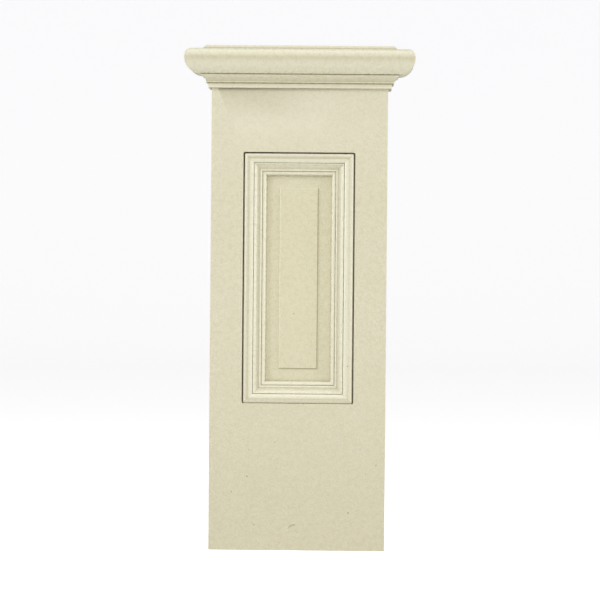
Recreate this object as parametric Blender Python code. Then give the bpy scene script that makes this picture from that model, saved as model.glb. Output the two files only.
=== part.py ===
"""Pilaster of dado height: a plain shaft with a sunk panel, under a moulded cap.

Metres, +Z up. The front faces -Y and the flat back faces +Y. The origin is on
the floor, under the middle of the object's box. Each piece is modelled from
the wall plane, Y = 0, and hangs on an empty that carries that plane back by
half of the object's depth.
"""

import math

import bmesh
import bpy

# Shaft
SHAFT_WIDTH = 0.3142
SHAFT_DEPTH = 0.110
SHAFT_HEIGHT = 0.849

# Margins of plain shaft round the opening for the panel
SIDE_MARGIN = 0.05755
HEAD_MARGIN = 0.1135
FOOT_MARGIN = 0.2626

# Clear groove between the opening and the frame that stands in it
GROOVE = 0.0024
FOOT_GROOVE = 0.0004

# Profile of the frame, from its outer edge inwards
BEAD_OUTER_WIDTH = 0.008
BEAD_OUTER_FALL = 0.0045
BEAD_INNER_WIDTH = 0.0081
BEAD_INNER_FALL = 0.0026
BEAD_CROWN = 0.0006
BEAD_PROUD = 0.001
QUIRK_WIDTH = 0.0012
QUIRK_DEPTH = 0.0022
COVE_LIP = 0.0014
COVE_WIDTH = 0.0091
COVE_FALL = 0.0062
COVE_HOLLOW = 0.0034
ASTRAGAL_WIDTH = 0.0034
ASTRAGAL_CROWN = 0.0009
INNER_QUIRK_WIDTH = 0.0008
INNER_QUIRK_DEPTH = 0.0022
INNER_BEAD_WIDTH = 0.0028
INNER_BEAD_SET = 0.0016
INNER_BEAD_RISE = 0.001
OVOLO_WIDTH = 0.0047
OVOLO_FALL = 0.0094

# Sunk panel with its raised tablet
PANEL_THICKNESS = 0.012
TABLET_SIDE_MARGIN = 0.0234
TABLET_END_MARGIN = 0.0216
TABLET_RISE = 0.0025
TABLET_BEVEL = 0.0012

# Bed moulding round the head of the shaft
BED_TOP_OVERHANG = 0.0185
BED_TOP_FILLET = 0.0034
BED_COVE_STEP = 0.0012
BED_COVE_HEIGHT = 0.010
BED_COVE_HOLLOW = 0.0018
BED_LIP_OVERHANG = 0.0102
BED_LIP_HEIGHT = 0.002
BED_FOOT_STEP = 0.0007
BED_FOOT_OVERHANG = 0.006
BED_FOOT_FILLET = 0.0088

# Cap board, with the raised seat that is worked on its top
CAP_THICKNESS = 0.0437
CAP_OVERHANG = 0.0475
CAP_EDGE_WIDTH = 0.012
CAP_EDGE_FALL = 0.015
CAP_NOSING_HEIGHT = 0.001
CAP_FOOT_OVERHANG = 0.0205
SEAT_HEIGHT = 0.007
SEAT_SETBACK = 0.0303
SEAT_BEVEL = 0.008

# Clearance between pieces that touch
JOINT_GAP = 0.0003

# How finely the curved profiles are cut, and how far a cutter runs past a face
ARC_STEPS = 12
CUTTER_OVERRUN = 0.01
SAME_POINT = 0.0000001

CREAM_PAINT = (0.72, 0.68, 0.50, 1.0)
PAINT_ROUGHNESS = 0.45


def clear_scene():
    for old in list(bpy.data.objects):
        bpy.data.objects.remove(old, do_unlink=True)


def make_collection(name):
    group = bpy.data.collections.new(name)
    bpy.context.scene.collection.children.link(group)
    return group


def make_wall_plane(group):
    """Empty that carries the pieces, so that the origin lies midway between front and back."""
    wall = bpy.data.objects.new("wall_plane", None)
    wall.location = (0, (SHAFT_DEPTH + CAP_OVERHANG) / 2, 0)
    group.objects.link(wall)
    return wall


def cream_paint(name):
    material = bpy.data.materials.new(name)
    material.use_nodes = True
    shader = material.node_tree.nodes["Principled BSDF"]
    shader.inputs["Base Color"].default_value = CREAM_PAINT
    shader.inputs["Roughness"].default_value = PAINT_ROUGHNESS
    shader.inputs["Metallic"].default_value = 0.0
    return material


def quarter(start, end, leaves_along):
    """Quarter of an ellipse; leaves_along is the axis (0 or 1) of its first tangent."""
    points = []
    for step in range(ARC_STEPS + 1):
        angle = 0.5 * math.pi * step / ARC_STEPS
        quick = math.sin(angle)
        slow = 1.0 - math.cos(angle)
        share = (quick, slow) if leaves_along == 0 else (slow, quick)
        points.append((
            start[0] + (end[0] - start[0]) * share[0],
            start[1] + (end[1] - start[1]) * share[1],
        ))
    return points


def bowed(start, end, sink):
    """Shallow arc between two points, sunk to the right of its chord, or crowned if sink is negative."""
    run = (end[0] - start[0], end[1] - start[1])
    length = math.hypot(*run)
    inward = (run[1] / length, -run[0] / length)
    points = []
    for step in range(ARC_STEPS + 1):
        share = step / ARC_STEPS
        bow = sink * 4.0 * share * (1.0 - share)
        points.append((
            start[0] + run[0] * share + inward[0] * bow,
            start[1] + run[1] * share + inward[1] * bow,
        ))
    return points


def without_repeats(points):
    kept = [points[0]]
    for point in points[1:]:
        if math.dist(point, kept[-1]) > SAME_POINT:
            kept.append(point)
    return kept


def place(name, mesh, group, parent):
    piece = bpy.data.objects.new(name, mesh)
    piece.parent = parent
    group.objects.link(piece)
    return piece


def loft(name, loops, closed, group, wall):
    """Solid through a row of loops with as many corners each, capped at its ends unless closed."""
    mesh = bpy.data.meshes.new(name)
    form = bmesh.new()
    rings = [[form.verts.new(corner) for corner in loop] for loop in loops]
    pairs = list(zip(rings, rings[1:]))
    if closed:
        pairs.append((rings[-1], rings[0]))
    else:
        form.faces.new(rings[0])
        form.faces.new(rings[-1])
    for low, high in pairs:
        for corner in range(len(low)):
            after = (corner + 1) % len(low)
            form.faces.new((low[corner], low[after], high[after], high[corner]))
    bmesh.ops.recalc_face_normals(form, faces=form.faces)
    form.to_mesh(mesh)
    form.free()
    mesh.materials.append(cream_paint(name + "_paint"))
    return place(name, mesh, group, wall)


def block(name, low, high, group, wall):
    """Plain block between two corners."""
    mesh = bpy.data.meshes.new(name)
    form = bmesh.new()
    bmesh.ops.create_cube(form, size=1.0)
    for vertex in form.verts:
        for axis in range(3):
            middle = (low[axis] + high[axis]) / 2
            vertex.co[axis] = middle + vertex.co[axis] * (high[axis] - low[axis])
    form.to_mesh(mesh)
    form.free()
    return place(name, mesh, group, wall)


def cut(piece, cutter):
    cutter.hide_render = True
    cutter.display_type = "WIRE"
    modifier = piece.modifiers.new("cut_" + cutter.name, "BOOLEAN")
    modifier.operation = "DIFFERENCE"
    modifier.solver = "EXACT"
    modifier.object = cutter


def bed_section():
    """Section of the bed moulding as (overhang, height), down its face and up its back."""
    fall = BED_TOP_FILLET
    points = [(BED_TOP_OVERHANG, 0), (BED_TOP_OVERHANG, -fall)]
    cove_top = (BED_TOP_OVERHANG - BED_COVE_STEP, -fall)
    fall += BED_COVE_HEIGHT
    points += bowed(cove_top, (BED_LIP_OVERHANG, -fall), BED_COVE_HOLLOW)
    fall += BED_LIP_HEIGHT
    points.append((BED_LIP_OVERHANG, -fall))
    fall += BED_FOOT_STEP
    points.append((BED_FOOT_OVERHANG, -fall))
    fall += BED_FOOT_FILLET
    points += [(BED_FOOT_OVERHANG, -fall), (JOINT_GAP, -fall), (JOINT_GAP, 0)]
    return [(overhang, SHAFT_HEIGHT + rise) for overhang, rise in without_repeats(points)]


def opening():
    """Width, height and foot of the opening in the shaft's face."""
    bed_foot = min(height for overhang, height in bed_section())
    width = SHAFT_WIDTH - 2 * SIDE_MARGIN
    height = bed_foot - HEAD_MARGIN - FOOT_MARGIN
    return width, height, FOOT_MARGIN


def frame_outside():
    """Width, height and foot of the frame, less the groove round it."""
    width, height, foot = opening()
    return width - 2 * GROOVE, height - GROOVE - FOOT_GROOVE, foot + FOOT_GROOVE


def frame_profile():
    """Section of the frame as (inset from its outer edge, height above the shaft's face)."""
    bead_edge = (0, BEAD_PROUD - BEAD_OUTER_FALL)
    crest = (BEAD_OUTER_WIDTH, BEAD_PROUD)
    bead_foot = (crest[0] + BEAD_INNER_WIDTH, BEAD_PROUD - BEAD_INNER_FALL)
    quirk = (bead_foot[0] + QUIRK_WIDTH / 2, bead_foot[1] - QUIRK_DEPTH)
    lip = (bead_foot[0] + QUIRK_WIDTH, bead_foot[1])
    cove_top = (lip[0] + COVE_LIP, lip[1])
    astragal = (cove_top[0] + COVE_WIDTH, cove_top[1] - COVE_FALL)
    astragal_end = (astragal[0] + ASTRAGAL_WIDTH, astragal[1])
    inner_quirk = (astragal_end[0] + INNER_QUIRK_WIDTH / 2, astragal[1] - INNER_QUIRK_DEPTH)
    inner_bead = (astragal_end[0] + INNER_QUIRK_WIDTH, astragal[1] - INNER_BEAD_SET)
    inner_crest = (inner_bead[0] + INNER_BEAD_WIDTH, inner_bead[1] + INNER_BEAD_RISE)
    ovolo_foot = (inner_crest[0] + OVOLO_WIDTH, inner_crest[1] - OVOLO_FALL)
    points = [(0, ovolo_foot[1])]
    points += quarter(bead_edge, crest, leaves_along=1)
    points += bowed(crest, bead_foot, -BEAD_CROWN)
    points += [quirk, lip]
    points += bowed(cove_top, astragal, COVE_HOLLOW)
    points += bowed(astragal, astragal_end, -ASTRAGAL_CROWN)
    points.append(inner_quirk)
    points += quarter(inner_bead, inner_crest, leaves_along=1)
    points += quarter(inner_crest, ovolo_foot, leaves_along=0)
    return without_repeats(points)


def field_depth():
    """Where the face of the sunk panel lies: just behind the back of the frame."""
    frame_back = min(height for inset, height in frame_profile())
    return -SHAFT_DEPTH - frame_back + JOINT_GAP


def upright_loop(width, height, foot, depth):
    """Upright rectangle on the plane Y = depth, centred on X = 0, that stands at height foot."""
    side = width / 2
    top = foot + height
    return [(-side, depth, foot), (side, depth, foot), (side, depth, top), (-side, depth, top)]


def make_shaft(group, cutters, wall):
    half = SHAFT_WIDTH / 2
    shaft = block("shaft", (-half, -SHAFT_DEPTH, 0), (half, 0, SHAFT_HEIGHT), group, wall)
    shaft.data.materials.append(cream_paint("shaft_paint"))
    width, height, foot = opening()
    recess_back = field_depth() + PANEL_THICKNESS + JOINT_GAP
    recess = block(
        "panel_recess",
        (-width / 2, -SHAFT_DEPTH - CUTTER_OVERRUN, foot),
        (width / 2, recess_back, foot + height),
        cutters,
        wall,
    )
    cut(shaft, recess)


def make_fielded_panel(group, wall):
    """Board in the back of the opening, with a plain tablet raised in its middle."""
    width, height, foot = opening()
    frame_width, frame_height, frame_foot = frame_outside()
    frame_inset = max(inset for inset, rise in frame_profile())
    side_inset = frame_inset + TABLET_SIDE_MARGIN
    end_inset = frame_inset + TABLET_END_MARGIN
    tablet_width = frame_width - 2 * side_inset
    tablet_height = frame_height - 2 * end_inset
    tablet_foot = frame_foot + end_inset
    board = (width - 2 * JOINT_GAP, height - 2 * JOINT_GAP, foot + JOINT_GAP)
    tablet = (tablet_width, tablet_height, tablet_foot)
    tablet_top = (
        tablet_width - 2 * TABLET_BEVEL,
        tablet_height - 2 * TABLET_BEVEL,
        tablet_foot + TABLET_BEVEL,
    )
    field = field_depth()
    loops = [
        upright_loop(*board, field + PANEL_THICKNESS),
        upright_loop(*board, field),
        upright_loop(*tablet, field),
        upright_loop(*tablet, field - TABLET_RISE + TABLET_BEVEL),
        upright_loop(*tablet_top, field - TABLET_RISE),
    ]
    loft("fielded_panel", loops, False, group, wall)


def make_panel_frame(group, wall):
    """Moulded frame with mitred corners, set in the opening."""
    width, height, foot = frame_outside()
    loops = [
        upright_loop(width - 2 * inset, height - 2 * inset, foot + inset, -SHAFT_DEPTH - rise)
        for inset, rise in frame_profile()
    ]
    loft("panel_frame", loops, True, group, wall)


def make_bed_moulding(group, wall):
    """Moulding that wraps the front and sides of the shaft's head, mitred at the front corners."""
    section = bed_section()
    half = SHAFT_WIDTH / 2
    stations = []
    for side, at_front in ((-1, False), (-1, True), (1, True), (1, False)):
        stations.append([
            (side * (half + overhang), -(SHAFT_DEPTH + overhang) if at_front else 0, height)
            for overhang, height in section
        ])
    loft("bed_moulding", stations, False, group, wall)


def cap_outline():
    """Outline of the cap board as (overhang, height above its underside), upwards."""
    nosing_top = CAP_THICKNESS - CAP_EDGE_FALL
    nosing_foot = nosing_top - CAP_NOSING_HEIGHT
    edge_end = CAP_OVERHANG - CAP_EDGE_WIDTH
    seat_foot = CAP_OVERHANG - SEAT_SETBACK
    points = quarter((CAP_FOOT_OVERHANG, 0), (CAP_OVERHANG, nosing_foot), leaves_along=0)
    points += quarter((CAP_OVERHANG, nosing_top), (edge_end, CAP_THICKNESS), leaves_along=1)
    points.append((seat_foot, CAP_THICKNESS))
    points.append((seat_foot - SEAT_BEVEL, CAP_THICKNESS + SEAT_HEIGHT))
    return without_repeats(points)


def make_cap_board(group, wall):
    """Board with a moulded edge on three sides, bedded on the shaft and the bed moulding."""
    underside = SHAFT_HEIGHT + JOINT_GAP
    loops = []
    for overhang, rise in cap_outline():
        side = SHAFT_WIDTH / 2 + overhang
        front = -SHAFT_DEPTH - overhang
        height = underside + rise
        loops.append([
            (-side, front, height),
            (side, front, height),
            (side, 0, height),
            (-side, 0, height),
        ])
    loft("cap_board", loops, False, group, wall)


def main():
    clear_scene()
    group = make_collection("pilaster")
    cutters = make_collection("cutters")
    wall = make_wall_plane(group)
    make_shaft(group, cutters, wall)
    make_fielded_panel(group, wall)
    make_panel_frame(group, wall)
    make_bed_moulding(group, wall)
    make_cap_board(group, wall)


main()
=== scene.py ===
import math

import bmesh
import bpy
from mathutils import Matrix, Vector


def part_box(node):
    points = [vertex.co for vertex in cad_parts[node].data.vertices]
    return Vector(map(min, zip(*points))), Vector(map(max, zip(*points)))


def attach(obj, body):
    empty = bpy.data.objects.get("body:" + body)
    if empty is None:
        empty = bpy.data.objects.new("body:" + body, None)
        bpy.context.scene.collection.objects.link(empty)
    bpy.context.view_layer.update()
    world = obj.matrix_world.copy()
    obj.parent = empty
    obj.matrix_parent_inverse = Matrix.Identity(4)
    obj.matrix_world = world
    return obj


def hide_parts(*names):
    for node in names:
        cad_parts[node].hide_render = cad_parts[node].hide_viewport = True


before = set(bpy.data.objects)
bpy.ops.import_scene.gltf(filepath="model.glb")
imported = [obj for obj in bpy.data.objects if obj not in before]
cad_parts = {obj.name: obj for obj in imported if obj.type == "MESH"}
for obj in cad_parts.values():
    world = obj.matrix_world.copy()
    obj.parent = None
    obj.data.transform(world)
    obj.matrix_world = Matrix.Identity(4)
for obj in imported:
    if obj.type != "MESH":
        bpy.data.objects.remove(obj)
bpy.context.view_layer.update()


# Shaft: a hollow post of planed boards, glued up and painted cream, that stands against the wall
# on its own square-cut foot. A tall opening in its face takes the panel and its frame. Knocks and
# pin pricks have marked the paint.
BODY = "root"
SHAFT_ARRIS = 0.0012
SHAFT_FOOT_ARRIS = 0.0006
OPENING_ARRIS = 0.0005
OPENING_CORNER = 0.0025
SIDE_GROOVE = 0.0024
FOOT_GROOVE = 0.0004
JOINT_GAP = 0.0003
TOUCHING = 0.00002
FULL_CREAM = (0.758, 0.718, 0.580, 1.0)
THIN_CREAM = (0.672, 0.620, 0.466, 1.0)
# Colours of the painted highlights and the painted shade on the mouldings, and of the painted fall
# of the light.
LIT_CREAM = (0.850, 0.825, 0.690, 1.0)
SHADED_CREAM = (0.340, 0.285, 0.130, 1.0)
# Dark paint for the dirt in the pin pricks, also used as painted shade along the dent's upper
# wall.
DIRT_AND_SHADE_CREAM = (0.330, 0.280, 0.180, 1.0)
DIRT_AND_SHADE_BROWN = (0.180, 0.140, 0.085, 1.0)
PRICK_DEPTH = 0.0011
SHAFT_PRICKS = (
    (-0.0395, 0.193, 0.0008),
    (-0.0890, 0.132, 0.0010),
    (0.0920, 0.068, 0.0011),
    (0.1410, 0.154, 0.0009),
    (-0.0360, 0.146, 0.0007),
    (-0.1160, 0.104, 0.0007),
    (-0.0760, 0.046, 0.0007),
    (0.1230, 0.138, 0.0007),
    (-0.0860, 0.180, 0.0006),
)
CRESCENT = ((-0.0157, 0.0380), (-0.0008, 0.0446))
CRESCENT_BOW = 0.0030
CRESCENT_WIDTH = 0.0034
CRESCENT_DEPTH = 0.0012
# A thin dark groove along the crescent dent's upper wall: its dark paint is painted shade where
# that wall faces down.
DENT_SHADE_LINE = ((-0.0154, 0.0392), (-0.0010, 0.0458))
DENT_SHADE_LINE_WIDTH = 0.0006
DENT_SHADE_LINE_DEPTH = 0.0013
SCRATCH = ((0.1172, 0.3390), (0.1216, 0.3312))
SCRATCH_BOW = 0.0003
SCRATCH_WIDTH = 0.0007
SCRATCH_DEPTH = 0.0003
PRICK_SIDES = 10
PRICK_TIP_SHARE = 0.125
DENT_STEPS = 14
DENT_END_SHARE = 0.08
DENT_FULLNESS = 0.6
CUTTER_OVERRUN = 0.0004
CORNER_TURN = 0.5
SMOOTH_TURN = math.radians(40)
PAINT_IOR = 1.5
CLOUD_ROUGHNESS = 0.55
CLOUD_EDGES = (0.3, 0.7)
SPECKLE_SCALE = 500
SPECKLE_EDGES = (0.38, 0.62)
DRIFT_SCALE = 22
DRIFT_SHARES = (0.20, 0.30)
# Painted light: the paint turns lighter towards the top and darker towards the bottom, as the
# light falls.
SHADED_HEIGHTS = (0.45, 0.10)
SHADED_SHARE = 0.13
LIT_HEIGHTS = (0.62, 0.86)
LIT_SHARE = 0.4
CREST_SHARE = 0.75
HOLLOW_SHARE = 0.85
GLOSS_SCALE = 120
ROUGHNESS_RANGE = (0.24, 0.32)
GRAIN_SCALE = 330
BRUSH_SCALE = 900
BRUSH_SHARE = 0.6
RELIEF_STRENGTH = 0.5
RELIEF_HEIGHT = 0.00006
BRUSHED_UPRIGHT = (1, 1, 0.12)
BRUSHED_LEVEL = (0.12, 1, 1)
BRUSHED_ROUND = (1, 1, 1)

shaft_low, shaft_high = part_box("shaft")
panel_low, panel_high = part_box("fielded_panel")
frame_low, frame_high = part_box("panel_frame")
shaft_face = shaft_low.y
wall_plane = shaft_high.y
opening_low = Vector((frame_low.x - SIDE_GROOVE, shaft_face, frame_low.z - FOOT_GROOVE))
opening_high = Vector((frame_high.x + SIDE_GROOVE, shaft_face, frame_high.z + SIDE_GROOVE))


def block(low, high):
    """Closed block between two corners."""
    form = bmesh.new()
    bmesh.ops.create_cube(form, size=1.0)
    for corner in form.verts:
        for axis in range(3):
            corner.co[axis] = low[axis] if corner.co[axis] < 0 else high[axis]
    return form


def stand_up(name, form):
    """Object in the scene from a finished form."""
    mesh = bpy.data.meshes.new(name)
    form.to_mesh(mesh)
    form.free()
    piece = bpy.data.objects.new(name, mesh)
    bpy.context.scene.collection.objects.link(piece)
    return piece


def settle(piece):
    """Keeps what the modifiers show as the piece's own mesh, and drops the modifiers."""
    graph = bpy.context.evaluated_depsgraph_get()
    shown = piece.evaluated_get(graph)
    mesh = bpy.data.meshes.new_from_object(shown, preserve_all_data_layers=True, depsgraph=graph)
    piece.modifiers.clear()
    piece.data = mesh


def carve(piece, cutter):
    """Cuts a closed cutter out of the piece, and throws the cutter away."""
    cutting = piece.modifiers.new("carve", "BOOLEAN")
    cutting.operation = "DIFFERENCE"
    cutting.solver = "EXACT"
    cutting.material_mode = "TRANSFER"
    cutting.object = cutter
    settle(piece)
    bpy.data.objects.remove(cutter)


def ease(form, edges, width, steps=4):
    """Takes the sharpness off some edges of a form, as sanding and paint do."""
    bmesh.ops.bevel(
        form,
        geom=edges,
        offset=width,
        offset_type="OFFSET",
        segments=steps,
        profile=0.5,
        affect="EDGES",
        clamp_overlap=True,
    )


def loft(name, loops):
    """Closed piece through a row of loops with as many corners each."""
    form = bmesh.new()
    rings = [[form.verts.new(corner) for corner in loop] for loop in loops]
    for lower, upper in zip(rings, rings[1:]):
        for corner in range(len(lower)):
            after = (corner + 1) % len(lower)
            form.faces.new((lower[corner], lower[after], upper[after], upper[corner]))
    form.faces.new(rings[0])
    form.faces.new(rings[-1])
    bmesh.ops.recalc_face_normals(form, faces=form.faces)
    return stand_up(name, form)


def prick(places, face, paint):
    """Cutter for pin pricks: small cones that point into a face that looks forwards."""
    form = bmesh.new()
    length = PRICK_DEPTH + CUTTER_OVERRUN
    for x, z, radius in places:
        bmesh.ops.create_cone(
            form,
            segments=PRICK_SIDES,
            radius1=radius * length / PRICK_DEPTH,
            radius2=radius * PRICK_TIP_SHARE,
            depth=length,
            cap_ends=True,
            matrix=Matrix.Translation((x, face + PRICK_DEPTH - length / 2, z))
            @ Matrix.Rotation(-math.pi / 2, 4, "X"),
        )
    cutter = stand_up("pricks", form)
    cutter.data.materials.append(paint)
    return cutter


def dent(ends, bow, width, depth, face, paint):
    """Cutter for a curved dent in a face that looks forwards, widest and deepest in its middle."""
    start, end = (Vector((x, 0, z)) for x, z in ends)
    along = (end - start).normalized()
    across = Vector((-along.z, 0, along.x))
    loops = []
    for step in range(DENT_STEPS + 1):
        share = step / DENT_STEPS
        swell = max(DENT_END_SHARE, math.sin(math.pi * share) ** DENT_FULLNESS)
        middle = start.lerp(end, share) + across * bow * 4 * share * (1 - share)
        middle.y = face
        half = width / 2 * swell
        floor = depth * swell
        outline = (
            (-1.0, -CUTTER_OVERRUN),
            (1.0, -CUTTER_OVERRUN),
            (0.75, floor * 0.7),
            (0.15, floor),
            (-0.5, floor * 0.8),
        )
        loops.append([
            middle + across * half * side + Vector((0, sunk, 0)) for side, sunk in outline
        ])
    cutter = loft("dent", loops)
    cutter.data.materials.append(paint)
    return cutter


def keep_flats_flat(piece):
    """Smooth shading over the eased edges that leaves the flat faces flat."""
    for facet in piece.data.polygons:
        facet.use_smooth = True
    piece.data.set_sharp_from_angle(angle=SMOOTH_TURN)
    weighting = piece.modifiers.new("flats", "WEIGHTED_NORMAL")
    weighting.mode = "FACE_AREA"
    weighting.weight = 100
    weighting.keep_sharp = True
    settle(piece)


def cream_paint(name, brush_marks, full=FULL_CREAM, thin=THIN_CREAM):
    """Satin paint: tone a little uneven, fine marks of the brush, and painted light, lighter high
    up and darker low down. It has painted highlights on the crests of the mouldings and painted
    shade in their hollows, and darker mitre seams, which the mesh marks as tones above and below
    nought."""
    paint = bpy.data.materials.new(name)
    paint.use_nodes = True
    nodes = paint.node_tree.nodes
    links = paint.node_tree.links
    shader = nodes["Principled BSDF"]
    shader.inputs["Metallic"].default_value = 0.0
    shader.inputs["IOR"].default_value = PAINT_IOR
    places = nodes.new("ShaderNodeTexCoord").outputs["Object"]

    def cloud(scale, detail, stretch=(1, 1, 1)):
        mapping = nodes.new("ShaderNodeMapping")
        mapping.inputs["Scale"].default_value = stretch
        links.new(places, mapping.inputs["Vector"])
        noise = nodes.new("ShaderNodeTexNoise")
        noise.inputs["Scale"].default_value = scale
        noise.inputs["Detail"].default_value = detail
        noise.inputs["Roughness"].default_value = CLOUD_ROUGHNESS
        links.new(mapping.outputs["Vector"], noise.inputs["Vector"])
        return noise.outputs["Fac"]

    def spread(value, low, high, to_low, to_high):
        ramp = nodes.new("ShaderNodeMapRange")
        ramp.inputs["From Min"].default_value = low
        ramp.inputs["From Max"].default_value = high
        ramp.inputs["To Min"].default_value = to_low
        ramp.inputs["To Max"].default_value = to_high
        links.new(value, ramp.inputs["Value"])
        return ramp.outputs["Result"]

    def blend(factor, first, second):
        mix = nodes.new("ShaderNodeMix")
        mix.data_type = "RGBA"
        links.new(factor, mix.inputs["Factor"])
        for socket, colour in ((mix.inputs[6], first), (mix.inputs[7], second)):
            if isinstance(colour, tuple):
                socket.default_value = colour
            else:
                links.new(colour, socket)
        return mix.outputs[2]

    speckle = spread(cloud(SPECKLE_SCALE, 1), *SPECKLE_EDGES, 0.0, 1.0)
    drift = spread(cloud(DRIFT_SCALE, 1), *CLOUD_EDGES, *DRIFT_SHARES)
    colour = blend(speckle, full, thin)
    colour = blend(drift, colour, thin)
    height = nodes.new("ShaderNodeSeparateXYZ")
    links.new(places, height.inputs["Vector"])
    # Painted light: lighter towards the top, darker towards the bottom.
    low_down = spread(height.outputs["Z"], *SHADED_HEIGHTS, 0.0, SHADED_SHARE)
    colour = blend(low_down, colour, SHADED_CREAM)
    high_up = spread(height.outputs["Z"], *LIT_HEIGHTS, 0.0, LIT_SHARE)
    colour = blend(high_up, colour, LIT_CREAM)
    tone = nodes.new("ShaderNodeMath")
    tone.operation = "ADD"
    for socket, label in zip(tone.inputs, ("tone", "run_tone")):
        mark = nodes.new("ShaderNodeAttribute")
        mark.attribute_name = label
        links.new(mark.outputs["Fac"], socket)
    # Painted highlights on the crests and painted shade in the hollows, from the mesh's tones.
    crests = spread(tone.outputs["Value"], 0.0, 1.0, 0.0, CREST_SHARE)
    colour = blend(crests, colour, LIT_CREAM)
    hollows = spread(tone.outputs["Value"], 0.0, -1.0, 0.0, HOLLOW_SHARE)
    colour = blend(hollows, colour, SHADED_CREAM)
    links.new(colour, shader.inputs["Base Color"])
    gloss = spread(cloud(GLOSS_SCALE, 3), *CLOUD_EDGES, *ROUGHNESS_RANGE)
    links.new(gloss, shader.inputs["Roughness"])

    relief = nodes.new("ShaderNodeMath")
    relief.operation = "ADD"
    links.new(cloud(GRAIN_SCALE, 2), relief.inputs[0])
    brush = spread(cloud(BRUSH_SCALE, 2, brush_marks), 0.0, 1.0, 0.0, BRUSH_SHARE)
    links.new(brush, relief.inputs[1])
    bump = nodes.new("ShaderNodeBump")
    bump.inputs["Strength"].default_value = RELIEF_STRENGTH
    bump.inputs["Distance"].default_value = RELIEF_HEIGHT
    links.new(relief.outputs["Value"], bump.inputs["Height"])
    links.new(bump.outputs["Normal"], shader.inputs["Normal"])
    return paint


def near(value, target):
    return abs(value - target) < TOUCHING


recess = block(
    (opening_low.x, shaft_face - OPENING_CORNER, opening_low.z),
    (opening_high.x, panel_high.y + JOINT_GAP, opening_high.z),
)
deep_edges = [edge for edge in recess.edges if not near(edge.verts[0].co.y, edge.verts[1].co.y)]
ease(recess, deep_edges, OPENING_CORNER, steps=6)

shaft = stand_up("shaft_boards", block(shaft_low, shaft_high))
carve(shaft, stand_up("recess", recess))

form = bmesh.new()
form.from_mesh(shaft.data)
upright = [
    edge for edge in form.edges
    if all(near(end.co.y, shaft_face) for end in edge.verts)
    and (all(near(end.co.x, shaft_low.x) for end in edge.verts)
         or all(near(end.co.x, shaft_high.x) for end in edge.verts))
]
ease(form, upright, SHAFT_ARRIS)
mouth = [
    edge for edge in form.edges
    if all(near(end.co.y, shaft_face) for end in edge.verts)
    and all(opening_low.x - TOUCHING < end.co.x < opening_high.x + TOUCHING for end in edge.verts)
    and all(opening_low.z - TOUCHING < end.co.z < opening_high.z + TOUCHING for end in edge.verts)
    and len(edge.link_faces) == 2
    and edge.calc_face_angle() > CORNER_TURN
]
ease(form, mouth, OPENING_ARRIS, steps=3)
foot = [
    edge for edge in form.edges
    if all(near(end.co.z, shaft_low.z) for end in edge.verts)
    and not all(near(end.co.y, wall_plane) for end in edge.verts)
    and edge.calc_face_angle() > CORNER_TURN
]
ease(form, foot, SHAFT_FOOT_ARRIS, steps=3)
form.to_mesh(shaft.data)
form.free()

shaft.data.materials.clear()
shaft.data.materials.append(cream_paint("shaft_paint", BRUSHED_UPRIGHT))
# Dark paint for the dirt in the pin pricks; the same paint is painted shade along the dent's upper
# wall.
hole_dirt_and_dent_shade = cream_paint("hole_dirt_and_dent_shade", BRUSHED_ROUND, DIRT_AND_SHADE_CREAM, DIRT_AND_SHADE_BROWN)
carve(shaft, prick(SHAFT_PRICKS, shaft_face, hole_dirt_and_dent_shade))
shaft_paint = shaft.data.materials[0]
carve(shaft, dent(CRESCENT, CRESCENT_BOW, CRESCENT_WIDTH, CRESCENT_DEPTH, shaft_face, shaft_paint))
# Painted shade: dark paint in a thin groove along the dent's upper wall.
carve(shaft, dent(DENT_SHADE_LINE, CRESCENT_BOW, DENT_SHADE_LINE_WIDTH, DENT_SHADE_LINE_DEPTH, shaft_face, hole_dirt_and_dent_shade))
carve(shaft, dent(SCRATCH, SCRATCH_BOW, SCRATCH_WIDTH, SCRATCH_DEPTH, shaft_face, shaft_paint))
keep_flats_flat(shaft)
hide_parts("shaft")
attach(shaft, BODY)


# Fielded panel: one thin board, painted like the shaft, with a plain tablet raised in its middle.
# It lies loose in the back of the opening and shows only inside the frame.
TABLET_SIDE_MARGIN = 0.0234
TABLET_END_MARGIN = 0.0216
TABLET_RISE = 0.0025
TABLET_BEVEL = 0.0012
FRAME_MEMBER = 0.0395
TABLET_PRICK = (-0.008, 0.423, 0.0009)
FIELD_TONE = 0.0
TABLET_TONE = -0.08
# Painted light and shade on the tablet's bevels.
TABLET_LIGHT_EDGE_TONE = 1.0
TABLET_DARK_EDGE_TONE = -0.8
# The panel's cream is a little lighter than the shaft's: painted light that offsets the shade in
# the recess.
PANEL_FULL_CREAM = (0.795, 0.755, 0.585, 1.0)
PANEL_THIN_CREAM = (0.715, 0.662, 0.480, 1.0)


def upright_loop(side, foot_height, top_height, depth):
    """Upright rectangle about the middle line, on the plane at one depth."""
    return [
        (-side, depth, foot_height),
        (side, depth, foot_height),
        (side, depth, top_height),
        (-side, depth, top_height),
    ]


board_side = panel_high.x
tablet_side = frame_high.x - FRAME_MEMBER - TABLET_SIDE_MARGIN
tablet_foot = frame_low.z + FRAME_MEMBER + TABLET_END_MARGIN
tablet_top = frame_high.z - FRAME_MEMBER - TABLET_END_MARGIN
tablet_face = panel_low.y
field_face = tablet_face + TABLET_RISE
panel = loft("panel_board", [
    upright_loop(board_side, panel_low.z, panel_high.z, panel_high.y),
    upright_loop(board_side, panel_low.z, panel_high.z, field_face),
    upright_loop(tablet_side, tablet_foot, tablet_top, field_face),
    upright_loop(tablet_side, tablet_foot, tablet_top, tablet_face + TABLET_BEVEL),
    upright_loop(
        tablet_side - TABLET_BEVEL,
        tablet_foot + TABLET_BEVEL,
        tablet_top - TABLET_BEVEL,
        tablet_face,
    ),
])
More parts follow.
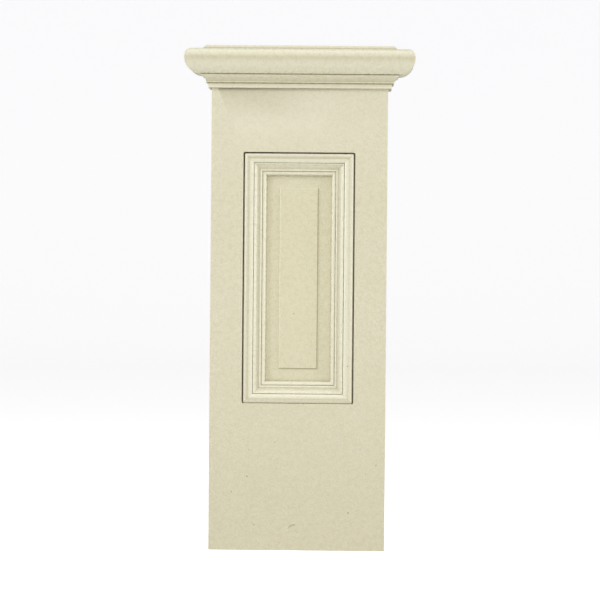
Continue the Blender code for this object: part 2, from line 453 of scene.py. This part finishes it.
# Painted light and shade: the tablet's left and top bevels are painted lighter and its right and
# bottom bevels darker, as the light falls from the upper left.
panel_tones = panel.data.attributes.new("tone", "FLOAT", "FACE")
for facet in panel.data.polygons:
    above_field = facet.center.y < field_face - TOUCHING
    if not above_field:
        panel_tones.data[facet.index].value = FIELD_TONE
    elif facet.normal.y < -0.9:
        panel_tones.data[facet.index].value = TABLET_TONE
    elif facet.normal.z - facet.normal.x > 0:
        panel_tones.data[facet.index].value = TABLET_LIGHT_EDGE_TONE
    else:
        panel_tones.data[facet.index].value = TABLET_DARK_EDGE_TONE
panel_paint = cream_paint(
    "panel_paint", BRUSHED_UPRIGHT, PANEL_FULL_CREAM, PANEL_THIN_CREAM
)
panel.data.materials.append(panel_paint)
carve(panel, prick((TABLET_PRICK,), tablet_face, hole_dirt_and_dent_shade))
keep_flats_flat(panel)
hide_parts("fielded_panel")
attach(panel, BODY)


# Panel frame: a run of bolection moulding, mitred at its four corners and painted, that stands
# in the opening with a narrow clear groove at its sides and head.
BEAD_OUTER_WIDTH = 0.008
BEAD_OUTER_FALL = 0.0045
BEAD_INNER_WIDTH = 0.0081
BEAD_INNER_FALL = 0.0026
BEAD_CROWN = 0.0006
QUIRK_WIDTH = 0.0012
QUIRK_DEPTH = 0.0022
COVE_LIP = 0.0014
COVE_WIDTH = 0.0091
COVE_FALL = 0.0062
COVE_HOLLOW = 0.0034
ASTRAGAL_WIDTH = 0.0034
ASTRAGAL_CROWN = 0.0009
INNER_QUIRK_WIDTH = 0.0008
INNER_QUIRK_DEPTH = 0.0022
INNER_BEAD_WIDTH = 0.0028
INNER_BEAD_SET = 0.0016
INNER_BEAD_RISE = 0.001
OVOLO_WIDTH = 0.0047
OVOLO_FALL = 0.0094
FRAME_CORNER = 0.0018
FRAME_ARRIS = 0.0003
ARC_STEPS = 14
ARRIS_TURN = 0.35
CORNER_STEPS = 5
QUIRK_RIM = 0.15
SEAM_HALF = 0.0006
SEAM_TONE = -0.8
# Painted light and shade on each member of the frame, by the way it faces the light: the head is
# painted darkest and the right side lightest.
LEFT_TONE = -0.03
FOOT_TONE = 0.08
RIGHT_TONE = 0.12
HEAD_TONE = -0.16
# The frame's cream is a little lighter than the shaft's: painted sheen, for the stronger
# reflections of its mouldings.
FRAME_FULL_CREAM = (0.800, 0.766, 0.635, 1.0)
FRAME_THIN_CREAM = (0.730, 0.685, 0.540, 1.0)
FRAME_PRICK = (0.0890, 0.330, 0.0009)


def quarter(start, end, leaves_along):
    """Quarter of an ellipse between two points of a section, each an offset, a rise and a tone;
    leaves_along is the axis (0 or 1) of its first tangent."""
    points = []
    for step in range(ARC_STEPS + 1):
        angle = 0.5 * math.pi * step / ARC_STEPS
        quick = math.sin(angle)
        slow = 1.0 - math.cos(angle)
        share = (quick, slow) if leaves_along == 0 else (slow, quick)
        share += (step / ARC_STEPS,)
        points.append(tuple(a + (b - a) * part for a, b, part in zip(start, end, share)))
    return points


def bowed(start, end, sink, tone_rise=0.0):
    """Shallow arc between two points of a section, sunk to the right of its chord, or crowned if
    sink is negative."""
    run = (end[0] - start[0], end[1] - start[1])
    length = math.hypot(*run)
    inward = (run[1] / length, -run[0] / length, 0.0)
    points = []
    for step in range(ARC_STEPS + 1):
        share = step / ARC_STEPS
        bow = 4.0 * share * (1.0 - share)
        shift = (inward[0] * sink * bow, inward[1] * sink * bow, tone_rise * bow)
        points.append(tuple(a + (b - a) * share + c for a, b, c in zip(start, end, shift)))
    return points


def without_repeats(points):
    kept = [points[0]]
    for point in points[1:]:
        if math.dist(point[:2], kept[-1][:2]) > TOUCHING / 10:
            kept.append(point)
    return kept


def polyline(name, places, closed, **marks):
    """Row of points joined by edges; each mark is a value or a vector for every point."""
    mesh = bpy.data.meshes.new(name)
    edges = [(point, point + 1) for point in range(len(places) - 1)]
    if closed:
        edges.append((len(places) - 1, 0))
    mesh.from_pydata([tuple(place) for place in places], edges, [])
    for mark, values in marks.items():
        if isinstance(values[0], Vector):
            layer = mesh.attributes.new(mark, "FLOAT_VECTOR", "POINT")
            layer.data.foreach_set("vector", [number for value in values for number in value])
        else:
            layer = mesh.attributes.new(mark, "FLOAT", "POINT")
            layer.data.foreach_set("value", values)
    line = bpy.data.objects.new(name, mesh)
    bpy.context.scene.collection.objects.link(line)
    return line


def profile_line(name, points, closed, corner_radius):
    """Line of a section, marked with its tones and where it has an arris to soften."""
    points = without_repeats(points)
    count = len(points)
    arrises = []
    for number, point in enumerate(points):
        if not closed and number in (0, count - 1):
            arrises.append(0.0)
            continue
        before = Vector(point[:2]) - Vector(points[number - 1][:2])
        after = Vector(points[(number + 1) % count][:2]) - Vector(point[:2])
        arrises.append(1.0 if before.angle(after) > ARRIS_TURN else 0.0)
    places = [(offset, rise, 0.0) for offset, rise, tone in points]
    corners = [corner_radius(offset) for offset, rise, tone in points]
    tones = [tone for offset, rise, tone in points]
    return polyline(name, places, closed, arris=arrises, corner=corners, tone=tones)


def turned_corner(place, side_before, side_after, reach, tones=(0.0, 0.0, 0.0)):
    """Stations of a path at one mitred corner: reach is 1 for a moulding that grows outwards
    from the path and -1 for one that grows inwards. The sides are given by the way they face,
    and the tones are those of the member before, the seam and the member after."""
    before, seam, after = tones
    mitre = (side_before + side_after) * reach
    stations = [(Vector(place) - side_after * SEAM_HALF, mitre, -side_after, before)]
    for step in range(CORNER_STEPS + 1):
        angle = 0.5 * math.pi * step / CORNER_STEPS
        swing = side_before * (math.cos(angle) - 1.0) + side_after * (math.sin(angle) - 1.0)
        stations.append((Vector(place), mitre, swing, seam))
    stations.append((Vector(place) - side_before * SEAM_HALF, mitre, -side_before, after))
    return stations


def path_line(name, stations, closed):
    places, mitres, swings, tones = (list(marks) for marks in zip(*stations))
    return polyline(name, places, closed, mitre=mitres, swing=swings, run_tone=tones)


def mitred_run_tree():
    """Leads a profile round a path, with true mitres, softened arrises and eased corners."""
    tree = bpy.data.node_groups.new("mitred_run", "GeometryNodeTree")
    inputs = (
        ("Geometry", "NodeSocketGeometry"),
        ("Profile", "NodeSocketObject"),
        ("Rise Direction", "NodeSocketVector"),
        ("Arris Radius", "NodeSocketFloat"),
        ("Merge Distance", "NodeSocketFloat"),
        ("Paint", "NodeSocketMaterial"),
    )
    for label, kind in inputs:
        tree.interface.new_socket(label, in_out="INPUT", socket_type=kind)
    tree.interface.new_socket("Geometry", in_out="OUTPUT", socket_type="NodeSocketGeometry")
    nodes = tree.nodes
    links = tree.links
    entry = nodes.new("NodeGroupInput")

    def mark(label, kind):
        node = nodes.new("GeometryNodeInputNamedAttribute")
        node.data_type = kind
        node.inputs["Name"].default_value = label
        return node.outputs["Attribute"]

    def scaled(vector, factor):
        node = nodes.new("ShaderNodeVectorMath")
        node.operation = "SCALE"
        links.new(vector, node.inputs[0])
        links.new(factor, node.inputs["Scale"])
        return node.outputs["Vector"]

    def added(first, second):
        node = nodes.new("ShaderNodeVectorMath")
        node.operation = "ADD"
        links.new(first, node.inputs[0])
        links.new(second, node.inputs[1])
        return node.outputs["Vector"]

    def remembered_place(curve):
        node = nodes.new("GeometryNodeCaptureAttribute")
        node.capture_items.new("VECTOR", "place")
        links.new(curve, node.inputs["Geometry"])
        links.new(nodes.new("GeometryNodeInputPosition").outputs["Position"], node.inputs["place"])
        return node.outputs["Geometry"], node.outputs["place"]

    profile = nodes.new("GeometryNodeObjectInfo")
    links.new(entry.outputs["Profile"], profile.inputs["Object"])
    profile_curve = nodes.new("GeometryNodeMeshToCurve")
    links.new(profile.outputs["Geometry"], profile_curve.inputs["Mesh"])
    softened = nodes.new("GeometryNodeFilletCurve")
    softened.mode = "POLY"
    softened.inputs["Count"].default_value = 3
    softened.inputs["Limit Radius"].default_value = True
    radius = nodes.new("ShaderNodeMath")
    radius.operation = "MULTIPLY"
    links.new(mark("arris", "FLOAT"), radius.inputs[0])
    links.new(entry.outputs["Arris Radius"], radius.inputs[1])
    links.new(radius.outputs["Value"], softened.inputs["Radius"])
    links.new(profile_curve.outputs["Curve"], softened.inputs["Curve"])
    section, section_place = remembered_place(softened.outputs["Curve"])

    path_curve = nodes.new("GeometryNodeMeshToCurve")
    links.new(entry.outputs["Geometry"], path_curve.inputs["Mesh"])
    path, path_place = remembered_place(path_curve.outputs["Curve"])

    sweep = nodes.new("GeometryNodeCurveToMesh")
    sweep.inputs["Fill Caps"].default_value = True
    links.new(path, sweep.inputs["Curve"])
    links.new(section, sweep.inputs["Profile Curve"])

    parts = nodes.new("ShaderNodeSeparateXYZ")
    links.new(section_place, parts.inputs["Vector"])
    place = added(path_place, scaled(mark("mitre", "FLOAT_VECTOR"), parts.outputs["X"]))
    place = added(place, scaled(entry.outputs["Rise Direction"], parts.outputs["Y"]))
    place = added(place, scaled(mark("swing", "FLOAT_VECTOR"), mark("corner", "FLOAT")))
    moved = nodes.new("GeometryNodeSetPosition")
    links.new(sweep.outputs["Mesh"], moved.inputs["Geometry"])
    links.new(place, moved.inputs["Position"])
    merged = nodes.new("GeometryNodeMergeByDistance")
    links.new(moved.outputs["Geometry"], merged.inputs["Geometry"])
    links.new(entry.outputs["Merge Distance"], merged.inputs["Distance"])
    real = nodes.new("GeometryNodeRealizeInstances")
    links.new(merged.outputs["Geometry"], real.inputs["Geometry"])
    painted = nodes.new("GeometryNodeSetMaterial")
    links.new(real.outputs["Geometry"], painted.inputs["Geometry"])
    links.new(entry.outputs["Paint"], painted.inputs["Material"])
    leave = nodes.new("NodeGroupOutput")
    links.new(painted.outputs["Geometry"], leave.inputs["Geometry"])
    return tree


mitred_run = mitred_run_tree()


def run_moulding(name, path, profile, rise_direction, arris_radius, paint):
    """Moulding along a path, made a plain closed mesh; the path and the profile are used up."""
    settings = {
        "Profile": profile,
        "Rise Direction": rise_direction,
        "Arris Radius": arris_radius,
        "Merge Distance": TOUCHING / 4,
        "Paint": paint,
    }
    run = path.modifiers.new("run", "NODES")
    run.node_group = mitred_run
    for item in mitred_run.interface.items_tree:
        if item.in_out == "INPUT" and item.name in settings:
            run[item.identifier] = settings[item.name]
    settle(path)
    bpy.data.objects.remove(profile)
    path.name = name
    form = bmesh.new()
    form.from_mesh(path.data)
    open_edges = [edge for edge in form.edges if edge.is_boundary]
    if open_edges:
        bmesh.ops.holes_fill(form, edges=open_edges, sides=0)
    bmesh.ops.recalc_face_normals(form, faces=form.faces)
    form.to_mesh(path.data)
    form.free()
    keep_flats_flat(path)
    return path


# The third number of each section point is painted light and shade: painted highlights on the
# bead's edge and foot, the lip and the inner crest, painted shade in the quirks, on the crown and
# at the ovolo's foot.
crest = shaft_face - frame_low.y
bead_edge = (0.0, crest - BEAD_OUTER_FALL, 0.7)
bead_crest = (BEAD_OUTER_WIDTH, crest, -0.4)
bead_foot = (BEAD_OUTER_WIDTH + BEAD_INNER_WIDTH, crest - BEAD_INNER_FALL, 1.0)
quirk = (bead_foot[0] + QUIRK_WIDTH / 2, bead_foot[1] - QUIRK_DEPTH, -1.0)
lip = (bead_foot[0] + QUIRK_WIDTH, bead_foot[1], 1.0)
cove_top = (lip[0] + COVE_LIP, lip[1], 1.0)
astragal = (cove_top[0] + COVE_WIDTH, cove_top[1] - COVE_FALL, -0.3)
astragal_end = (astragal[0] + ASTRAGAL_WIDTH, astragal[1], -0.3)
inner_quirk = (astragal_end[0] + INNER_QUIRK_WIDTH / 2, astragal[1] - INNER_QUIRK_DEPTH, -1.0)
inner_bead = (astragal_end[0] + INNER_QUIRK_WIDTH, astragal[1] - INNER_BEAD_SET, -0.4)
inner_crest = (inner_bead[0] + INNER_BEAD_WIDTH, inner_bead[1] + INNER_BEAD_RISE, 0.9)
ovolo_foot = (inner_crest[0] + OVOLO_WIDTH, inner_crest[1] - OVOLO_FALL, -1.0)
frame_section = [(0.0, ovolo_foot[1], -1.0)]
frame_section += quarter(bead_edge, bead_crest, leaves_along=1)
frame_section += bowed(bead_crest, bead_foot, -BEAD_CROWN, tone_rise=0.25)
frame_section += [
    (*Vector(bead_foot[:2]).lerp(quirk[:2], QUIRK_RIM), -1.0),
    quirk,
    (*Vector(lip[:2]).lerp(quirk[:2], QUIRK_RIM), -1.0),
    lip,
]
frame_section += bowed(cove_top, astragal, COVE_HOLLOW)
frame_section += bowed(astragal, astragal_end, -ASTRAGAL_CROWN, tone_rise=1.3)
frame_section.append(inner_quirk)
frame_section += quarter(inner_bead, inner_crest, leaves_along=1)
frame_section += quarter(inner_crest, ovolo_foot, leaves_along=0)
frame_profile = profile_line(
    "frame_profile",
    frame_section,
    True,
    lambda inset: max(0.0, FRAME_CORNER - inset),
)
down = Vector((0, 0, -1))
right = Vector((1, 0, 0))
up = Vector((0, 0, 1))
left = Vector((-1, 0, 0))
# Each member carries its painted light or shade; the seam tone darkens the mitre joints.
frame_members = (
    (frame_low.x, frame_low.z, left, LEFT_TONE),
    (frame_high.x, frame_low.z, down, FOOT_TONE),
    (frame_high.x, frame_high.z, right, RIGHT_TONE),
    (frame_low.x, frame_high.z, up, HEAD_TONE),
)
frame_stations = []
for number, (x, z, side, tone) in enumerate(frame_members):
    side_after, tone_after = frame_members[(number + 1) % 4][2:]
    tones = (tone, SEAM_TONE, tone_after)
    frame_stations += turned_corner((x, shaft_face, z), side, side_after, -1, tones)
frame_path = path_line("frame_path", frame_stations, True)
panel_frame = run_moulding(
    "panel_frame_moulding",
    frame_path,
    frame_profile,
    (0, -1, 0),
    FRAME_ARRIS,
    cream_paint("frame_paint", BRUSHED_ROUND, FRAME_FULL_CREAM, FRAME_THIN_CREAM),
)
carve(panel_frame, prick((FRAME_PRICK,), frame_low.y, hole_dirt_and_dent_shade))
keep_flats_flat(panel_frame)
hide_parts("panel_frame")
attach(panel_frame, BODY)


# Bed moulding: a small moulding of fillet, cove, lip and fillet, glued and pinned round the front
# and the sides of the shaft's head, mitred at the front and cut square at the wall.
BED_TOP_FILLET = 0.0034
BED_COVE_STEP = 0.0012
BED_COVE_HEIGHT = 0.010
BED_COVE_HOLLOW = 0.0018
BED_LIP_OVERHANG = 0.0102
BED_LIP_HEIGHT = 0.002
BED_FOOT_STEP = 0.0007
BED_FOOT_OVERHANG = 0.006
# Height of the painted shade lines at the bed moulding's creases.
BED_SHADE_HEIGHT = 0.0008
BED_ARRIS = 0.0004
BED_CORNER = 0.0006


def three_sided_path(name, closed):
    """Path round the sides and the front of the shaft, at the height of its head."""
    forward = Vector((0, -1, 0))
    still = Vector((0, 0, 0))
    head = shaft_high.z
    stations = [(Vector((shaft_low.x, wall_plane, head)), left, still, 0.0)]
    stations += turned_corner((shaft_low.x, shaft_face, head), left, forward, 1)
    stations += turned_corner((shaft_high.x, shaft_face, head), forward, right, 1)
    stations.append((Vector((shaft_high.x, wall_plane, head)), right, still, 0.0))
    return path_line(name, stations, closed)


bed_low, bed_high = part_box("bed_moulding")
bed_overhang = bed_high.x - shaft_high.x
cove_head = -BED_TOP_FILLET
cove_foot = cove_head - BED_COVE_HEIGHT
lip_foot = cove_foot - BED_LIP_HEIGHT
fillet_head = lip_foot - BED_FOOT_STEP
bed_foot = bed_low.z - shaft_high.z
# The tones along the section are painted: painted shade in the creases at the cap, the lip and the
# foot, and painted highlights on the faces beside them.
bed_section = [
    (bed_overhang, 0.0, -1.0),
    (bed_overhang, -1.2 * BED_SHADE_HEIGHT, -1.0),
    (bed_overhang, -2.2 * BED_SHADE_HEIGHT, 1.0),
    (bed_overhang, cove_head, 1.0),
]
bed_section += bowed(
    (bed_overhang - BED_COVE_STEP, cove_head, 0.1),
    (BED_LIP_OVERHANG, cove_foot, -0.5),
    BED_COVE_HOLLOW,
)
bed_section += [
    (BED_LIP_OVERHANG, cove_foot - BED_SHADE_HEIGHT / 2, 0.6),
    (BED_LIP_OVERHANG, lip_foot + BED_SHADE_HEIGHT / 2, 0.6),
    (BED_LIP_OVERHANG, lip_foot, -1.0),
    (BED_FOOT_OVERHANG, fillet_head, -1.0),
    (BED_FOOT_OVERHANG, fillet_head - BED_SHADE_HEIGHT, -0.6),
    (BED_FOOT_OVERHANG, fillet_head - 2 * BED_SHADE_HEIGHT, 0.2),
    (BED_FOOT_OVERHANG, bed_foot + 2 * BED_SHADE_HEIGHT, 1.0),
    (BED_FOOT_OVERHANG, bed_foot + BED_SHADE_HEIGHT, 0.2),
    (BED_FOOT_OVERHANG, bed_foot, -0.6),
    (JOINT_GAP, bed_foot, -1.0),
    (JOINT_GAP, 0.0, -1.0),
]
bed_profile = profile_line(
    "bed_profile", bed_section, True, lambda offset: min(BED_CORNER, offset / 2)
)
bed_moulding = run_moulding(
    "bed_moulding_run",
    three_sided_path("bed_path", False),
    bed_profile,
    (0, 0, 1),
    BED_ARRIS,
    cream_paint("bed_paint", BRUSHED_ROUND),
)
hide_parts("bed_moulding")
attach(bed_moulding, BODY)


# Cap board: one thick board bedded on the shaft and the bed moulding, with a rounded nose and an
# ovolo worked on three edges, and a low bevelled seat left standing on its top.
CAP_EDGE_WIDTH = 0.012
CAP_EDGE_FALL = 0.015
CAP_NOSING_HEIGHT = 0.001
CAP_FOOT_OVERHANG = 0.0205
SEAT_HEIGHT = 0.007
SEAT_SETBACK = 0.0303
SEAT_BEVEL = 0.008
# Width of the painted shade line in the crease above the bed moulding.
CAP_SHADE_DEPTH = 0.001
CAP_ARRIS = 0.0005
CAP_CORNER = 0.002

cap_low, cap_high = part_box("cap_board")
cap_overhang = cap_high.x - shaft_high.x
cap_foot = cap_low.z - shaft_high.z
seat_top = cap_high.z - shaft_high.z
board_top = seat_top - SEAT_HEIGHT
nosing_top = board_top - CAP_EDGE_FALL
seat_foot = cap_overhang - SEAT_SETBACK
# The tones along the section are painted light and shade: painted shade in the crease above the
# bed moulding, at the nose and at the seat's foot, and painted light on the ovolo's lower part,
# the top rounding and the seat's edge.
cap_section = [(CAP_FOOT_OVERHANG - CAP_SHADE_DEPTH, cap_foot, -1.0)]
cap_section += quarter(
    (CAP_FOOT_OVERHANG, cap_foot, 0.8),
    (cap_overhang, nosing_top - CAP_NOSING_HEIGHT, -0.35),
    leaves_along=0,
)
cap_section += quarter(
    (cap_overhang, nosing_top, -0.35),
    (cap_overhang - CAP_EDGE_WIDTH, board_top, 0.6),
    leaves_along=1,
)
cap_section += [(seat_foot, board_top, -1.0), (seat_foot - SEAT_BEVEL, seat_top, 1.0)]
cap_profile = profile_line("cap_profile", cap_section, False, lambda offset: CAP_CORNER)
cap = run_moulding(
    "cap_board_moulded",
    three_sided_path("cap_path", True),
    cap_profile,
    (0, 0, 1),
    CAP_ARRIS,
    cream_paint("cap_paint", BRUSHED_LEVEL),
)
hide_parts("cap_board")
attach(cap, BODY)


# Studio: a wide pale floor of matt board that curves up into a plain rim all round, so that it
# lies behind the pilaster from every side. It shows a little lighter to the camera than its
# light alone would make it, like the white ground of a photograph.
STAGE_RADIUS = 9.0
STAGE_RIM_RADIUS = 1.6
STAGE_RIM_HEIGHT = 1.8
STAGE_RIM_STEPS = 12
STAGE_SIDES = 96
STAGE_SEAM = 0.0001
STAGE_ROUGHNESS = 0.9
STAGE_GLOSS = 0.1
STAGE_COLOUR = (0.80, 0.80, 0.79, 1.0)
STAGE_GLOW_COLOUR = (0.80, 0.81, 0.94, 1.0)
STAGE_GLOW = 0.72

stage_form = bmesh.new()
stage_outline = [Vector((0, 0, 0)), Vector((STAGE_RADIUS - STAGE_RIM_RADIUS, 0, 0))]
for step in range(1, STAGE_RIM_STEPS + 1):
    angle = 0.5 * math.pi * step / STAGE_RIM_STEPS
    stage_outline.append(Vector((
        STAGE_RADIUS - STAGE_RIM_RADIUS + STAGE_RIM_RADIUS * math.sin(angle),
        0,
        STAGE_RIM_RADIUS * (1 - math.cos(angle)),
    )))
stage_outline.append(Vector((STAGE_RADIUS, 0, STAGE_RIM_HEIGHT)))
outline_verts = [stage_form.verts.new(point) for point in stage_outline]
outline_edges = [stage_form.edges.new(pair) for pair in zip(outline_verts, outline_verts[1:])]
bmesh.ops.spin(
    stage_form,
    geom=outline_verts + outline_edges,
    axis=(0, 0, 1),
    cent=(0, 0, 0),
    angle=2 * math.pi,
    steps=STAGE_SIDES,
)
bmesh.ops.remove_doubles(stage_form, verts=stage_form.verts, dist=STAGE_SEAM)
bmesh.ops.recalc_face_normals(stage_form, faces=stage_form.faces)
bmesh.ops.reverse_faces(stage_form, faces=stage_form.faces)
stage = stand_up("studio_floor", stage_form)
for facet in stage.data.polygons:
    facet.use_smooth = True
stage_finish = bpy.data.materials.new("studio_white")
stage_finish.use_nodes = True
stage_shader = stage_finish.node_tree.nodes["Principled BSDF"]
stage_shader.inputs["Base Color"].default_value = STAGE_COLOUR
stage_shader.inputs["Roughness"].default_value = STAGE_ROUGHNESS
stage_shader.inputs["Emission Color"].default_value = STAGE_GLOW_COLOUR
ray = stage_finish.node_tree.nodes.new("ShaderNodeLightPath")
glow = stage_finish.node_tree.nodes.new("ShaderNodeMath")
glow.operation = "MULTIPLY"
glow.inputs[1].default_value = STAGE_GLOW
stage_finish.node_tree.links.new(ray.outputs["Is Camera Ray"], glow.inputs[0])
stage_finish.node_tree.links.new(glow.outputs["Value"], stage_shader.inputs["Emission Strength"])
stage_shader.inputs["Specular IOR Level"].default_value = STAGE_GLOSS
stage.data.materials.append(stage_finish)


# Light: soft boxes to the left and the right of the pilaster, and weaker ones above, before and
# below it, in a warm and even surround. The side boxes stand so far round that the faces
# towards the camera show no gloss.
BOX_TARGET = Vector((0, -0.05, 0.45))
BOX_COLOUR = (0.92, 0.96, 1.03)
SOFT_BOXES = (
    ("left_box", -63, 20, 3.0, (1.7, 2.0), 42),
    ("right_box", 75, 14, 3.0, (1.2, 1.8), 44),
    ("top_box", 0, 75, 3.0, (2.0, 1.2), 17),
    ("front_box", 0, 40, 3.0, (2.4, 1.2), 9),
    ("low_box", 0, -14, 1.3, (1.6, 0.5), 2),
)
SURROUND_COLOUR = (1.0, 0.955, 0.72, 1.0)
SURROUND_STRENGTH = 0.46

for name, turn, height, distance, size, power in SOFT_BOXES:
    box = bpy.data.objects.new(name, bpy.data.lights.new(name, "AREA"))
    box.data.shape = "RECTANGLE"
    box.data.size, box.data.size_y = size
    box.data.energy = power
    box.data.color = BOX_COLOUR
    level = math.cos(math.radians(height))
    away = Vector((
        math.sin(math.radians(turn)) * level,
        -math.cos(math.radians(turn)) * level,
        math.sin(math.radians(height)),
    ))
    box.location = BOX_TARGET + away * distance
    box.rotation_mode = "QUATERNION"
    box.rotation_quaternion = away.to_track_quat("Z", "Y")
    box.visible_camera = False
    bpy.context.scene.collection.objects.link(box)

surround = bpy.data.worlds.new("surround")
surround.use_nodes = True
surround.node_tree.nodes["Background"].inputs["Color"].default_value = SURROUND_COLOUR
surround.node_tree.nodes["Background"].inputs["Strength"].default_value = SURROUND_STRENGTH
bpy.context.scene.world = surround
bpy.context.scene.view_settings.view_transform = "Standard"


# Camera: at the height of the upper half of the pilaster and a little to its right, through a
# long lens that keeps the edges nearly parallel, and turned a little about its own axis.
CAMERA_PLACE = Vector((0.102, -5.755, 0.580))
CAMERA_YAW = -0.01726
CAMERA_PITCH = 0.02314
CAMERA_ROLL = -0.0086
CAMERA_LENS = 192.75
CAMERA_SENSOR = 36.0

ahead = Vector((
    math.sin(CAMERA_YAW) * math.cos(CAMERA_PITCH),
    math.cos(CAMERA_YAW) * math.cos(CAMERA_PITCH),
    -math.sin(CAMERA_PITCH),
))
level_right = Vector((math.cos(CAMERA_YAW), -math.sin(CAMERA_YAW), 0))
level_down = ahead.cross(level_right)
picture_right = level_right * math.cos(CAMERA_ROLL) + level_down * math.sin(CAMERA_ROLL)
picture_up = level_right * math.sin(CAMERA_ROLL) - level_down * math.cos(CAMERA_ROLL)
camera = bpy.data.objects.new("camera", bpy.data.cameras.new("camera"))
camera.data.lens = CAMERA_LENS
camera.data.sensor_width = CAMERA_SENSOR
camera.matrix_world = (
    Matrix.Translation(CAMERA_PLACE)
    @ Matrix((picture_right, picture_up, -ahead)).transposed().to_4x4()
)
bpy.context.scene.collection.objects.link(camera)
bpy.context.scene.camera = camera
